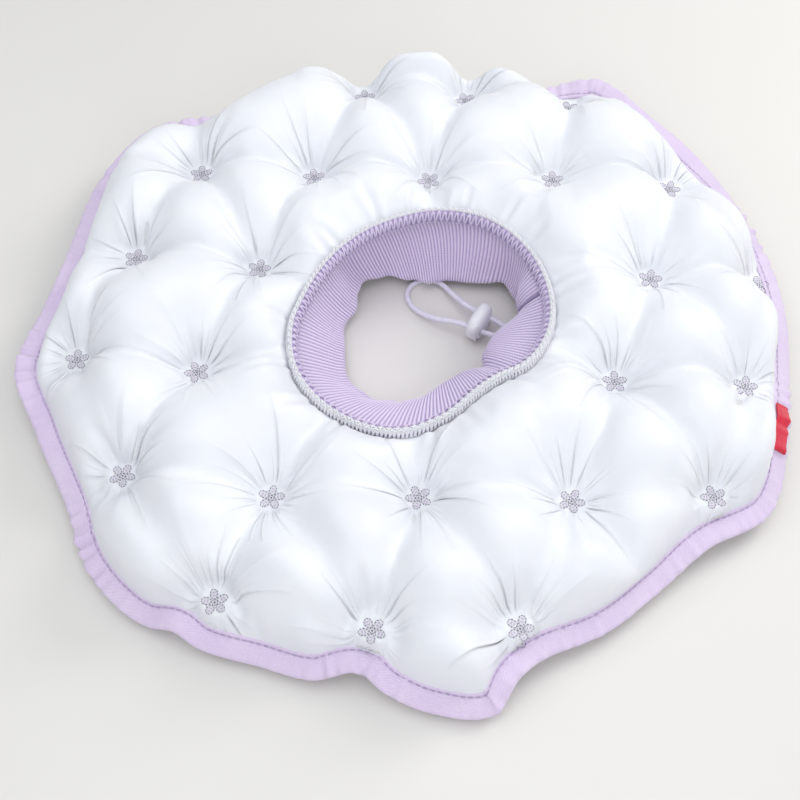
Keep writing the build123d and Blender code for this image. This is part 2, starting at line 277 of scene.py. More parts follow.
class Form:
    """Points, faces and surface coordinates that build up into one piece."""

    def __init__(self):
        self.points, self.faces, self.uvs, self.marks = [], [], [], []
        self.count = 0

    def add(self, points, faces, uvs=None, mark=0):
        """mark is the index of the faces' material. uvs has one pair for each corner of each face."""
        points = np.asarray(points, float).reshape(-1, 3)
        faces = np.asarray(faces, int)
        self.points.append(points)
        self.faces.extend((faces + self.count).tolist())
        corners = faces.size
        self.uvs.append(np.zeros((corners, 2)) if uvs is None else np.asarray(uvs, float).reshape(-1, 2))
        self.marks.append(np.full(len(faces), mark))
        self.count += len(points)

    def grid(self, points, around=False, across=False, along=None, over=None, mark=0, capped=False):
        """A sheet of quads over points[n, m]. around and across close it. along and over are its uvs."""
        points = np.asarray(points, float)
        n, m = points.shape[:2]
        first, last = self.count, self.count + (n - 1) * m
        rows, columns = n if around else n - 1, m if across else m - 1
        i, j = np.meshgrid(np.arange(rows), np.arange(columns), indexing="ij")
        i, j = i.ravel(), j.ravel()
        i2, j2 = (i + 1) % n, (j + 1) % m
        faces = np.column_stack([i * m + j, i2 * m + j, i2 * m + j2, i * m + j2])
        along = np.arange(rows + 1) if along is None else along
        over = np.arange(columns + 1) if over is None else over
        u = np.column_stack([along[i], along[i + 1], along[i + 1], along[i]])
        v = np.column_stack([over[j], over[j], over[j + 1], over[j + 1]])
        self.add(points, faces, np.dstack([u, v]), mark)
        if capped:
            for end in (range(first + m - 1, first - 1, -1), range(last, last + m)):
                self.faces.append(list(end))
                self.uvs.append(np.zeros((m, 2)))
                self.marks.append(np.full(1, mark))

    def build(self, name, node, materials, body="collar"):
        """The piece, which stands for one CAD node."""
        mesh = bpy.data.meshes.new(name)
        mesh.from_pydata((np.concatenate(self.points) * MM).tolist(), [], self.faces)
        layer = mesh.uv_layers.new(name="UVMap")
        layer.data.foreach_set("uv", np.concatenate(self.uvs).astype(np.float32).ravel())
        for material in materials:
            mesh.materials.append(material)
        mesh.polygons.foreach_set("material_index", np.concatenate(self.marks).astype(np.int32))
        mesh.polygons.foreach_set("use_smooth", np.ones(len(mesh.polygons), bool))
        mesh.update()
        piece = add_object(name, mesh)
        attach(piece, body)
        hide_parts(node)
        return piece


def lengths(points, closed=False):
    """Distance along a line to each of its points, and back to the first where it closes."""
    ends = np.concatenate([points, points[:1]]) if closed else points
    return np.concatenate([[0], np.cumsum(np.linalg.norm(np.diff(ends, axis=0), axis=1))])


def sides_of(points, closed=False):
    """Two directions across a line at each point, turned as little as possible along it."""
    around = np.roll(points, -1, axis=0) - np.roll(points, 1, axis=0)
    forward = unit(around if closed else np.gradient(points, axis=0))
    side = np.cross(forward[0], UP)
    if np.linalg.norm(side) < 0.1:
        side = np.cross(forward[0], [1.0, 0.0, 0.0])
    sides = []
    for heading in forward:
        side = side - heading * np.dot(side, heading)
        side = side / np.linalg.norm(side)
        sides.append(side)
    sides = np.array(sides)
    return sides, np.cross(forward, sides)


def all_round(a, b, sides):
    """Directions[n, sides] all the way round, from two directions a and b at each point."""
    turn = np.arange(sides) * FULL / sides
    return a[:, None] * np.cos(turn)[None, :, None] + b[:, None] * np.sin(turn)[None, :, None]


def tube(points, radius, sides, closed=False):
    """Points[n, sides] of a round tube along a line."""
    return points[:, None] + all_round(*sides_of(points, closed), sides) * radius


def add_thread(form, line, radius, mark=0, sides=6, closed=False):
    line = np.asarray(line, float)
    form.grid(
        tube(line, radius, sides, closed), around=closed, across=True, along=lengths(line, closed),
        over=np.linspace(0, FULL * radius, sides + 1), mark=mark, capped=not closed,
    )


def add_stitches(form, starts, ends, lift, radius, mark=0):
    """Short arched threads from each start to each end. lift is the way and the height of each arch."""
    t = np.linspace(0, 1, 5)
    arch = np.sin(math.pi * t)
    thick = radius * np.sqrt(np.clip(1 - (2 * t - 1) ** 4, 0.04, 1))
    starts, ends, lift = (np.asarray(a, float) for a in (starts, ends, lift))
    lift, run = np.broadcast_to(lift, starts.shape), ends - starts
    side = unit(np.cross(unit(run), unit(lift)))
    ring = all_round(side, np.cross(side, unit(run)), 6)
    line = starts[:, None] + run[:, None] * t[None, :, None] + lift[:, None] * arch[None, :, None]
    points = line[:, :, None] + ring[:, None] * thick[None, :, None, None]
    for stitch in points:
        form.grid(stitch, across=True, mark=mark, capped=True)


# ------------------------------------------------------------------ materials


class Look:
    """One procedural material, and short ways to add the nodes that it needs."""

    def __init__(self, name, roughness, sheen=0.0, soft=0.0):
        self.material = bpy.data.materials.new(name)
        self.material.use_nodes = True
        self.tree = self.material.node_tree
        self.shader = self.tree.nodes["Principled BSDF"]
        values = {
            "Roughness": roughness, "Sheen Weight": sheen, "Sheen Roughness": 0.4,
            "Subsurface Weight": soft, "Subsurface Radius": (0.006, 0.006, 0.007),
        }
        for socket, value in values.items():
            self.shader.inputs[socket].default_value = value

    def node(self, kind, inputs, **settings):
        found = self.tree.nodes.new(kind)
        for name, value in settings.items():
            setattr(found, name, value)
        for socket, value in inputs.items():
            if isinstance(value, bpy.types.NodeSocket):
                self.tree.links.new(value, found.inputs[socket])
            else:
                found.inputs[socket].default_value = value
        return found

    def place(self):
        return self.node("ShaderNodeTexCoord", {}).outputs["Object"]

    def surface(self, turn=0.0):
        """The piece's own surface coordinates, in millimetres along and across it."""
        uv = self.node("ShaderNodeUVMap", {}, uv_map="UVMap").outputs["UV"]
        turned = {"Vector": uv, "Rotation": (0, 0, math.radians(turn))}
        return self.node("ShaderNodeMapping", turned).outputs["Vector"]

    def noise(self, place, scale, detail=2.0, roughness=0.5):
        inputs = {"Vector": place, "Scale": scale, "Detail": detail, "Roughness": roughness}
        return self.node("ShaderNodeTexNoise", inputs).outputs["Fac"]

    def waves(self, place, scale, axis="X", distortion=0.0):
        inputs = {"Vector": place, "Scale": scale, "Distortion": distortion}
        found = self.node("ShaderNodeTexWave", inputs, wave_type="BANDS", bands_direction=axis)
        return found.outputs["Fac"]

    def math(self, operation, *values):
        return self.node("ShaderNodeMath", dict(enumerate(values)), operation=operation).outputs["Value"]

    def vector(self, operation, first, second):
        found = self.node("ShaderNodeVectorMath", {0: first, 1: second}, operation=operation)
        return found.outputs["Vector"]

    def mix(self, *parts):
        """The sum of (value, share) parts."""
        total = None
        for value, share in parts:
            part = self.math("MULTIPLY", value, share)
            total = self.math("ADD", total, part) if total else part
        return total

    def ranged(self, value, ends, to_ends, kind="LINEAR"):
        inputs = dict(zip(("Value", "From Min", "From Max", "To Min", "To Max"), (value, *ends, *to_ends)))
        return self.node("ShaderNodeMapRange", inputs, interpolation_type=kind).outputs["Result"]

    def parts(self, place):
        found = self.node("ShaderNodeSeparateXYZ", {"Vector": place})
        return found.outputs["X"], found.outputs["Y"]

    def colour(self, factor, *stops):
        """A base colour that runs through (place, colour) stops."""
        ramp = self.node("ShaderNodeValToRGB", {"Fac": factor})
        elements = ramp.color_ramp.elements
        for element, (place, colour) in zip(elements, (stops[0], stops[-1])):
            element.position, element.color = place, (*colour, 1)
        for place, colour in stops[1:-1]:
            elements.new(place).color = (*colour, 1)
        self.tree.links.new(ramp.outputs["Color"], self.shader.inputs["Base Color"])

    def gloss(self, factor, low, high):
        self.tree.links.new(self.ranged(factor, (0, 1), (low, high)), self.shader.inputs["Roughness"])

    def bump(self, *layers):
        """Bumps one on another; layers are (height, depth in millimetres)."""
        normal = None
        for height, depth in layers:
            inputs = {"Height": height, "Distance": depth * MM, "Strength": 1.0}
            if normal:
                inputs["Normal"] = normal
            normal = self.node("ShaderNodeBump", inputs).outputs["Normal"]
        self.tree.links.new(normal, self.shader.inputs["Normal"])


def pulled_lines(look):
    """Sharp folds that run out from each tuft. The cloth's surface coordinates start at its nearest tuft."""
    offset = look.surface()
    x, y = look.parts(offset)
    reach = look.math("SQRT", look.math("ADD", look.math("MULTIPLY", x, x), look.math("MULTIPLY", y, y)))
    # The same for the whole of a tuft's cloth, and different for each
    own = look.vector("SUBTRACT", look.place(), look.vector("MULTIPLY", offset, (MM, MM, 0)))
    own = look.vector("MULTIPLY", own, (31.0, 47.0, 0))
    sway = look.math("MULTIPLY", look.math("SUBTRACT", look.noise(own, 1.7), 0.5), 0.05)
    turn = look.math("ADD", look.math("ARCTAN2", y, x), look.math("MULTIPLY", reach, sway))
    circle = {"X": look.math("COSINE", turn), "Y": look.math("SINE", turn), "Z": 0.0}
    ways = look.vector("ADD", look.node("ShaderNodeCombineXYZ", circle).outputs["Vector"], own)
    found = []
    for scale, sharpness, near, far in ((1.9, 22.0, 12.0, 52.0), (3.9, 16.0, 8.0, 28.0)):
        wander = look.math("ABSOLUTE", look.math("SUBTRACT", look.noise(ways, scale, 0.0), 0.5))
        ridge = look.math("POWER", look.math("SUBTRACT", 1.0, wander), sharpness)
        limit = look.ranged(look.noise(ways, 2.6, 0.0), (0.3, 0.7), (near, far))
        close = look.ranged(look.math("DIVIDE", reach, limit), (0.25, 1.0), (1.0, 0.0), "SMOOTHSTEP")
        start = look.ranged(reach, (4.5, 9.0), (0.0, 1.0), "SMOOTHSTEP")
        found.append(look.math("MULTIPLY", ridge, look.math("MULTIPLY", start, close)))
    return found


def taffeta_material():
    """Thin bright white cloth, with a fine plain weave and thin folds pulled out from the tufts."""
    look = Look("white_taffeta_cloth", 0.4, sheen=0.2, soft=0.2)
    place = look.place()
    look.colour(look.noise(place, 55, 3), (0.3, (0.835, 0.85, 0.895)), (0.7, (0.875, 0.89, 0.92)))
    look.gloss(look.noise(place, 160), 0.34, 0.48)
    weave = look.math("ADD", look.waves(place, 1100, "X"), look.waves(place, 1100, "Y"))
    crumple = look.noise(place, 150, 3)
    long_folds, short_folds = pulled_lines(look)
    look.bump((weave, 0.01), (crumple, 0.05), (short_folds, 0.3), (long_folds, 0.7))
    return look.material


def tape_material():
    """Soft brushed cotton twill, lavender."""
    look = Look("lavender_cotton_tape", 0.9, sheen=0.5)
    place = look.place()
    diagonal = look.waves(look.surface(52), 0.62, distortion=0.6)
    fuzz = look.noise(place, 1500, 3, 0.7)
    mixed = look.mix((diagonal, 0.3), (fuzz, 0.4), (look.noise(place, 90, 3), 0.3))
    look.colour(mixed, (0.2, (0.72, 0.56, 0.83)), (0.5, (0.83, 0.69, 0.92)), (0.8, (0.91, 0.82, 0.96)))
    look.bump((diagonal, 0.12), (fuzz, 0.18))
    return look.material


def rib_material():
    """Knitted rib: rounded ridges with stitches along them, with painted light on the ridges and painted
    shade in the valleys between.
    """
    look = Look("lavender_rib_knit", 0.88, sheen=0.4)
    across, along = look.parts(look.surface())
    # ridge runs from 0 in the valleys to 1 on the ridges and only sets the colour: painted shade in the
    # valleys, painted light on the ridges
    ridge = look.math("COSINE", look.math("MULTIPLY", across, FULL))
    ridge = look.math("MULTIPLY_ADD", ridge, 0.5, 0.5)
    slope = look.math("ABSOLUTE", look.math("SINE", look.math("MULTIPLY", across, FULL / 2)))
    lift = look.math("ADD", along, look.math("MULTIPLY", slope, 0.5))
    loops = look.math("SINE", look.math("MULTIPLY", lift, FULL / 0.95))
    loops = look.math("MULTIPLY_ADD", loops, 0.5, 0.5)
    fuzz = look.noise(look.place(), 1900, 3, 0.7)
    painted_shade_and_knit_tone = look.mix((ridge, 0.72), (loops, 0.14), (fuzz, 0.2))
    # The dark low stop is mostly painted shade in the valleys, the light high stop mostly painted light on
    # the ridges
    look.colour(painted_shade_and_knit_tone, (0.05, (0.34, 0.25, 0.47)), (0.36, (0.66, 0.54, 0.80)), (0.85, (0.89, 0.81, 0.96)))
    look.bump((loops, 0.12), (fuzz, 0.12))
    return look.material


def thread_material(name, dark, light, roughness=0.6):
    """Twisted thread: fine diagonal plies."""
    look = Look(name, roughness, sheen=0.3)
    plies = look.waves(look.surface(35), 1.2)
    look.colour(look.mix((plies, 0.4), (look.noise(look.place(), 700), 0.6)), (0.25, dark), (0.75, light))
    look.bump((plies, 0.06))
    return look.material


def ribbon_material():
    """Red satin ribbon with fine cross ribs."""
    look = Look("red_satin_ribbon", 0.42, sheen=0.2)
    ribs = look.waves(look.surface(), 1.1, "Y")
    mixed = look.mix((ribs, 0.35), (look.noise(look.place(), 300, 3), 0.65))
    look.colour(mixed, (0.2, (0.60, 0.008, 0.035)), (0.8, (0.84, 0.025, 0.07)))
    look.bump((ribs, 0.05))
    return look.material


def cord_material():
    """Braided white elastic with a trace of lavender."""
    look = Look("braided_elastic", 0.62, sheen=0.3, soft=0.1)
    braid = look.math("MULTIPLY", look.waves(look.surface(40), 0.55), look.waves(look.surface(-40), 0.55))
    mixed = look.mix((braid, 0.5), (look.noise(look.place(), 400), 0.5))
    look.colour(mixed, (0.15, (0.72, 0.68, 0.84)), (0.6, (0.91, 0.90, 0.95)))
    look.bump((braid, 0.1))
    return look.material


def plastic_material():
    """Moulded white acetal: a fine spark-eroded grain, a little uneven in its gloss."""
    look = Look("moulded_white_plastic", 0.4, soft=0.15)
    place = look.place()
    look.colour(look.noise(place, 260), (0.3, (0.82, 0.82, 0.85)), (0.7, (0.89, 0.89, 0.91)))
    look.gloss(look.noise(place, 900, 3), 0.32, 0.5)
    look.bump((look.noise(place, 4200), 0.01))
    return look.material


def steel_material():
    look = Look("drawn_spring_steel", 0.3)
    look.shader.inputs["Metallic"].default_value = 1.0
    drawn = look.noise(look.place(), 2600, 3)
    look.colour(drawn, (0.3, (0.42, 0.42, 0.44)), (0.7, (0.62, 0.62, 0.65)))
    look.bump((drawn, 0.01))
    return look.material


def fibre_material():
    """Loose polyester fibre, as it would look with the cloth taken off."""
    look = Look("loose_polyester_fibre", 0.95, sheen=0.6, soft=0.2)
    wisps = look.noise(look.place(), 320, 6, 0.75)
    look.colour(wisps, (0.3, (0.74, 0.75, 0.77)), (0.7, (0.86, 0.87, 0.88)))
    look.bump((wisps, 1.2))
    return look.material


def table_material():
    look = Look("pale_table", 0.55)
    look.colour(look.noise(look.place(), 3, 3), (0.3, (0.755, 0.735, 0.70)), (0.7, (0.79, 0.77, 0.735)))
    return look.material


# ------------------------------------------------------------------ the puffs

EDGE_CURVE = Ring((0.0, 0.0), EDGE)
SEAM_CURVE = Ring(NECK, SEAM)
WAIST_CURVE = Ring(WAIST, WAIST_RING)
HEM_CURVE = Ring(HEM, HEM_RING)


def tape_frame(turn):
    """Where the tape's fold is, the way from it to the inner edge, and the way out of the upper face."""
    fold = EDGE_CURVE.points(turn)
    hang = np.radians(EDGE_CURVE.at(turn)[:, 2])
    step = 1e-3
    forward = unit(EDGE_CURVE.points(turn + step) - EDGE_CURVE.points(turn - step))
    outward = unit(np.cross(forward, UP))
    inward = unit(-outward * np.cos(hang)[:, None] + UP * np.sin(hang)[:, None])
    face = unit(np.cross(forward, inward))
    return fold, inward, face


def panel_edge(turn):
    fold, inward, _ = tape_frame(turn)
    return fold + inward * TAPE_HOLD


def panel_neck(turn):
    """Where both panels are sewn to the cuff, just outside the overlocked edge."""
    return SEAM_CURVE.points(turn) + outward_at(turn) * 1.2 - UP * 4.0


def find_tufts():
    """Each tuft's middle, from the CAD model."""
    found = []
    for name in sorted(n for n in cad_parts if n.startswith("tuft_")):
        low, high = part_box(name)
        found.append([(a + b) / 2 / MM for a, b in zip(low, high)])
    return np.array(found)


TUFTS = find_tufts()


def from_tufts(plan):
    """The distance in plan from each point to each tuft."""
    return np.hypot(*(plan[:, None] - TUFTS[None, :, :2]).transpose(2, 0, 1))


def radius_of(curve, centre):
    """A function that gives a closed curve's distance from a centre at any turn."""
    radius, turn = polar(curve, centre)
    order = np.argsort(turn)
    return lambda t: np.interp(t, turn[order], radius[order], period=FULL)


def jittered_lattice(step):
    """Points a step apart in rows, each moved a little by chance."""
    chance = np.random.default_rng(4)
    row = step * math.sqrt(3) / 2
    x, y = np.meshgrid(np.arange(-PLAN_HALF, PLAN_HALF, step), np.arange(-PLAN_HALF, PLAN_HALF, row))
    x = x + (np.arange(x.shape[0]) % 2)[:, None] * step / 2
    lattice = np.column_stack([x.ravel(), y.ravel()])
    return lattice + chance.uniform(-JITTER, JITTER, lattice.shape) * step


def quilt_plan(step):
    """The flat quilt as triangles: its two edges, the stitched patches and a jittered lattice between."""
    outer_turn = np.arange(int(FULL * OUTER_R / step)) * step / OUTER_R
    outer_turn *= FULL / (outer_turn[-1] + step / OUTER_R)
    n_outer, n_inner = len(outer_turn), int(FULL * INNER_R / step)
    n_rim = n_outer + n_inner
    outer, inner = panel_edge(outer_turn), panel_neck(np.arange(n_inner) * FULL / n_inner)
    outer_r, inner_r = radius_of(outer, (0.0, 0.0)), radius_of(inner, NECK)
    patches = []
    for tuft in TUFTS[:, :2]:
        patches.append(tuft[None])
        for radius, count in PATCH_RINGS:
            patches.append(tuft + radius * outward_at(np.arange(count) * FULL / count)[:, :2])
    clear = 0.6 * step
    lattice = jittered_lattice(step)
    (radius, turn), (from_neck, neck_turn) = polar(lattice), polar(lattice, NECK)
    lattice = lattice[(radius < outer_r(turn) - clear) & (from_neck > inner_r(neck_turn) + clear)]
    lattice = lattice[from_tufts(lattice).min(axis=1) > PATCH_R + clear]
    plan = np.concatenate([outer[:, :2], inner[:, :2], *patches, lattice])
    rim = [(i, (i + 1) % n_outer) for i in range(n_outer)]
    rim += [(n_outer + i, n_outer + (i + 1) % n_inner) for i in range(n_inner)]
    found = delaunay_2d_cdt([Vector(p) for p in plan], rim, [], 0, 1e-5)
    plan = np.array([tuple(p) for p in found[0]])
    triangles = np.array([f for f in found[2] if len(f) == 3])
    middle = plan[triangles].mean(axis=1)
    (radius, turn), (from_neck, neck_turn) = polar(middle), polar(middle, NECK)
    outside = (radius > outer_r(turn) + 0.01) | (from_neck < inner_r(neck_turn))
    outside |= np.all(triangles < n_outer, axis=1)
    outside |= np.all((triangles >= n_outer) & (triangles < n_rim), axis=1)
    triangles = triangles[~outside]
    a, b, c = (plan[triangles[:, k]] for k in range(3))
    flipped = (b - a)[:, 0] * (c - a)[:, 1] - (b - a)[:, 1] * (c - a)[:, 0] < 0
    triangles[flipped] = triangles[flipped][:, ::-1]
    used = np.arange(len(plan)) < n_rim
    used[triangles] = True
    return plan[used], (np.cumsum(used) - 1)[triangles], outer, inner


def distance_to(plan, rim):
    """Each point's distance from a rim in plan, and the index of the rim point nearest to it."""
    gaps, which = np.empty(len(plan)), np.empty(len(plan), int)
    for first in range(0, len(plan), 2000):
        part = slice(first, first + 2000)
        gap = np.hypot(*(plan[part, None] - rim[None, :, :2]).transpose(2, 0, 1))
        gaps[part], which[part] = gap.min(axis=1), gap.argmin(axis=1)
    return gaps, which


def distance_to_line(plan, start, end):
    run = end - start
    t = np.clip((plan - start) @ run / (run @ run), 0, 1)
    return np.hypot(*(plan - start - t[:, None] * run).T)


def valley_lines(outer, inner):
    """Lines in plan between neighbouring tufts, and from the outermost and innermost tufts to the edges."""
    places = TUFTS[:, :2]
    lines = []
    for first, start in enumerate(places):
        for end in places[first + 1:]:
            if np.hypot(*(end - start)) < NEIGHBOUR:
                lines.append((start, end))
        for rim, reach in ((outer, TO_OUTER), (inner, TO_INNER)):
            gap = np.hypot(*(rim[:, :2] - start).T)
            if gap.min() < reach:
                lines.append((start, rim[gap.argmin(), :2]))
    return lines


def clear_of_cuff(points):
    """Move the padding's points out of the cuff, straight away from the neck's middle."""
    wall = cuff_wall(np.linspace(-math.pi, math.pi, 361), np.linspace(0, 1, 30))
    wall_r = polar(wall, NECK)[0] + CUFF_T + CUFF_GAP
    radius, turn = polar(points, NECK)
    moved = points.copy()
    for index in np.flatnonzero(radius < 75):
        column = int(round((turn[index] + math.pi) / FULL * 360))
        heights = wall[column, ::-1, 2]
        if points[index, 2] > heights[-1]:
            continue
        least = np.interp(points[index, 2], heights, wall_r[column, ::-1])
        if radius[index] < least:
            moved[index, :2] = NECK + (points[index, :2] - NECK) * least / radius[index]
    return moved


def relaxed(points, faces, held, rounds):
    """The points drawn towards their neighbours, to take out ripples as small as the faces."""
    ends = np.roll(faces, -1, axis=1)
    pairs = np.column_stack([faces.ravel(), ends.ravel()])
    for _ in range(rounds):
        total, count = np.zeros_like(points), np.zeros(len(points))
        for a, b in (pairs.T, pairs.T[::-1]):
            np.add.at(total, a, points[b])
            np.add.at(count, a, 1)
        pull = (total / np.maximum(count, 1)[:, None] - points) * 0.5
        pull[held | (count == 0)] = 0
        points = points + pull
    return points


def start_heights(plan, gaps, outer, inner, to_outer, to_inner):
    """The heights of the upper and the lower cloth before they are blown up."""
    turn = np.degrees(polar(plan)[1])
    far, side = bump_at(turn, *FAR_SIDE, 4), bump_at(turn, *LABEL_SIDE, 4)
    rises = []
    for gap, tuft in zip(gaps.T, TUFTS):
        # Beyond the last tufts at the back, the padding rises faster
        behind = far * smooth_step(plan[:, 1] - tuft[1], 0, 6) * (tuft[1] > FAR_ROW)
        reach = np.clip(gap - PATCH_R, 0, None) / (FUNNEL - FAR_STEEPER * behind)
        rises.append(1 - np.exp(-(reach ** 1.2)))
    fullness = np.minimum(np.prod(rises, axis=0) / 0.84, 1.05)
    for start, end in valley_lines(outer, inner):
        fullness *= 1 - VALLEY_DEPTH * bump_at(distance_to_line(plan, start, end), 0, VALLEY_W)
    crown = CROWN + FAR_RISE * bump_at(turn, *RISE_SIDE) * smooth_step(plan[:, 1], *RISE_START)
    weight = 1 / (gaps + 8) ** 3
    middle = (weight * TUFTS[None, :, 2]).sum(axis=1) / weight.sum(axis=1)
    top = middle + PATCH_HALF + (crown - middle - PATCH_HALF) * fullness
    low = middle - PATCH_HALF + (REST_Z - middle + PATCH_HALF) * np.minimum(fullness * 1.35, 1)
    outer_roll = OUTER_ROLL + (FAR_ROLL - OUTER_ROLL) * far + (SIDE_ROLL - OUTER_ROLL) * side
    for rim, (gap, which), roll in ((outer, to_outer, outer_roll), (inner, to_inner, NECK_ROLL)):
        rim_z = rim[which, 2]
        share = (1 - (1 - np.clip(gap / roll, 0, 1)) ** 2) ** 0.62
        top = rim_z + (top - rim_z) * share
        low = rim_z + (low - rim_z) * share
    near, centre = gaps.min(axis=1), TUFTS[gaps.argmin(axis=1), 2]
    in_patch = near < PATCH_R + 0.05
    dish = PATCH_DISH * (near / PATCH_R) ** 2
    top = np.where(in_patch, centre + PATCH_HALF + dish, top)
    low = np.where(in_patch, centre - PATCH_HALF - dish, low)
    on_rim = np.arange(len(plan)) < len(outer) + len(inner)
    top[on_rim] = low[on_rim] = np.concatenate([outer, inner])[:, 2]
    return top, low, on_rim, in_patch


def stuffed_cloth(step, frames):
    """Both panels as one closed cloth, blown up between the tufts.

    Returns its points, the front panel's triangles, the back panel's point for each of the front's
    and how many points the front panel has.
    """
    plan, triangles, outer, inner = quilt_plan(step)
    n = len(plan)
    gaps = from_tufts(plan)
    to_outer, to_inner = distance_to(plan, outer), distance_to(plan, inner)
    top, low, on_rim, in_patch = start_heights(plan, gaps, outer, inner, to_outer, to_inner)
    # The panels share the points on the rim
    inside = np.flatnonzero(~on_rim)
    back_of = np.arange(n)
    back_of[inside] = n + np.arange(len(inside))
    points = np.concatenate([np.column_stack([plan, top]), np.column_stack([plan, low])[inside]])
    points[:, 2] = np.maximum(points[:, 2], REST_Z)
    faces = np.concatenate([triangles, back_of[triangles][:, ::-1]])
    held = np.concatenate([on_rim | in_patch, in_patch[inside]])
    # There is no spare cloth close to the rim and the patches
    loose = smooth_step(to_outer[0], 0, 6) * smooth_step(to_inner[0], 2, 12)
    taut = 1 - loose * smooth_step(gaps.min(axis=1), PATCH_R, PATCH_R + 4)
    found = blown_up(points * MM * SIM_SCALE, faces, held, np.concatenate([taut, taut[inside]]), frames)
    found = relaxed(found / MM / SIM_SCALE, faces, held, RELAX_ROUNDS)
    return clear_of_cuff(found), triangles, back_of, n


def blown_up(points, faces, held, taut, frames):
    """Where the cloth's points are after it has been blown up over the table, at the solver's scale."""
    scene = bpy.context.scene
    cloth = add_object("stuffed_cloth", plain_mesh("stuffed_cloth", points, faces))
    cloth.vertex_groups.new(name="held").add(np.flatnonzero(held).tolist(), 1.0, "REPLACE")
    ease = cloth.vertex_groups.new(name="ease")
    for index, share in enumerate(taut.tolist()):
        ease.add([index], share, "REPLACE")
    ground = table_plane("solver_floor", 0.3 * SIM_SCALE)
    ground.modifiers.new("stop", "COLLISION")
    ground.collision.thickness_outer = 0.001 * SIM_SCALE
    ground.collision.cloth_friction = 5
    solver = cloth.modifiers.new("cloth", "CLOTH")
    for setting, value in CLOTH.items():
        setattr(solver.settings, setting, value)
    solver.settings.effector_weights.gravity = 0.0
    solver.collision_settings.use_collision = True
    solver.collision_settings.distance_min = 0.001 * SIM_SCALE
    solver.collision_settings.collision_quality = 1
    solver.collision_settings.use_self_collision = False
    solver.point_cache.frame_end = frames
    scene.frame_start, scene.frame_end = 1, frames
    for number in range(1, frames + 1):
        scene.frame_set(number)
    found = values_of(evaluated(cloth).vertices, "co", 3)
    bpy.data.objects.remove(cloth)
    bpy.data.objects.remove(ground)
    scene.frame_set(1)
    return found


def table_plane(name, half):
    corners = np.array([(-half, -half, 0), (half, -half, 0), (half, half, 0), (-half, half, 0)])
    return add_object(name, plain_mesh(name, corners, np.array([(0, 1, 2, 3)])))


def subdivided(name, points, triangles):
    """One Catmull-Clark subdivision of a panel, as numbers: points, outward directions and faces."""
    piece = add_object(name, plain_mesh(name, points * MM, triangles))
    divide = piece.modifiers.new("smooth", "SUBSURF")
    divide.levels = divide.render_levels = 1
    divide.boundary_smooth = "PRESERVE_CORNERS"
    fine = evaluated(piece)
    place, normals = values_of(fine.vertices, "co", 3) / MM, values_of(fine.vertices, "normal", 3)
    faces = values_of(fine.loops, "vertex_index", 1, int).reshape(-1, 4)
    bpy.data.objects.remove(piece)
    return place, normals, faces


def fold_moves(offset, turn, start, reach, depth, width, bend):
    """The depth of one thin fold with raised lips, at offsets from the place that it runs out from."""
    ahead = offset @ (math.cos(turn), math.sin(turn))
    aside = offset @ (-math.sin(turn), math.cos(turn)) - bend * ahead**2
    spread = width * (0.8 + ahead.clip(0) / 22)
    run = smooth_step(ahead, *start) * (1 - smooth_step(ahead, reach * 0.35, reach))
    lips, groove = bump_at(np.abs(aside), 2.1 * spread, spread), bump_at(aside, 0, spread)
    return run * depth * (0.5 * lips - groove)


def neck_folds(points, seed):
    """How far points move along their normals at the neck seam, where the panel is eased on to the cuff."""
    chance = np.random.default_rng(seed)
    moves = np.zeros(len(points))
    for place in np.arange(NECK_FOLDS) * FULL / NECK_FOLDS + chance.uniform(-0.1, 0.1, NECK_FOLDS):
        offset = points[:, :2] - SEAM_CURVE.points(place)[0, :2]
        close = np.flatnonzero(np.hypot(*offset.T) < 34)
        turn, reach = place + chance.uniform(-0.25, 0.25), chance.uniform(14, 30)
        depth, width = chance.uniform(0.4, 1.0), chance.uniform(0.9, 1.5)
        bend = chance.uniform(-0.01, 0.01)
        moves[close] += fold_moves(offset[close], turn, (0, 4), reach, depth, width, bend)
    return moves


def pulled_folds(points, seed):
    """How far points move along their normals, for the thin folds from the tufts and the neck seam."""
    chance = np.random.default_rng(seed)
    moves = neck_folds(points, seed + 20)
    start = (PATCH_R - 1.5, PATCH_R + 2)
    for tuft in TUFTS:
        offset = points[:, :2] - tuft[:2]
        close = np.flatnonzero(np.hypot(*offset.T) < CREASE_REACH + 6)
        others = TUFTS[:, :2] - tuft[:2]
        gaps = np.hypot(*others.T)
        turns = [math.atan2(y, x) + chance.uniform(-0.12, 0.12) for x, y in others[(gaps > 1) & (gaps < 60)]]
        for turn in turns + list(chance.uniform(0, FULL, 4)):
            reach, depth = chance.uniform(13, CREASE_REACH), chance.uniform(0.5, 1.1)
            width, bend = chance.uniform(1.0, 1.6), chance.uniform(-0.009, 0.009)
            moves[close] += fold_moves(offset[close], turn, start, reach, depth, width, bend)
    return moves


def make_puffs():
    sizes = ((PUFF_STEP, SIM_FRAMES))
    found, triangles, back_of, n = stuffed_cloth(*sizes)
    cloth = taffeta_material()
    edge = panel_edge(np.arange(900) * FULL / 900)
    for name, node, points, faces, seed in (
        ("front_puffs", "front_panel", found[:n], triangles, 11),
        ("back_puffs", "back_panel", found[back_of], triangles[:, ::-1], 12),
    ):
        fine, normals, quads = subdivided(name, points, faces)
        # Near the binding the padding is too thin for deep folds
        folds = pulled_folds(fine, seed) * smooth_step(distance_to(fine[:, :2], edge)[0], 3, 13)
        moved = fine + normals * folds[:, None]
        moved[:, 2] = np.maximum(moved[:, 2], 0.05)
        corners = moved[quads][:, :, :2]
        nearest = from_tufts(corners.mean(axis=1)).argmin(axis=1)
        form = Form()
        form.add(moved, quads, corners - TUFTS[nearest, None, :2])
        piece = form.build(name, node, [cloth])
    make_filling(found, np.concatenate([triangles, back_of[triangles][:, ::-1]]))


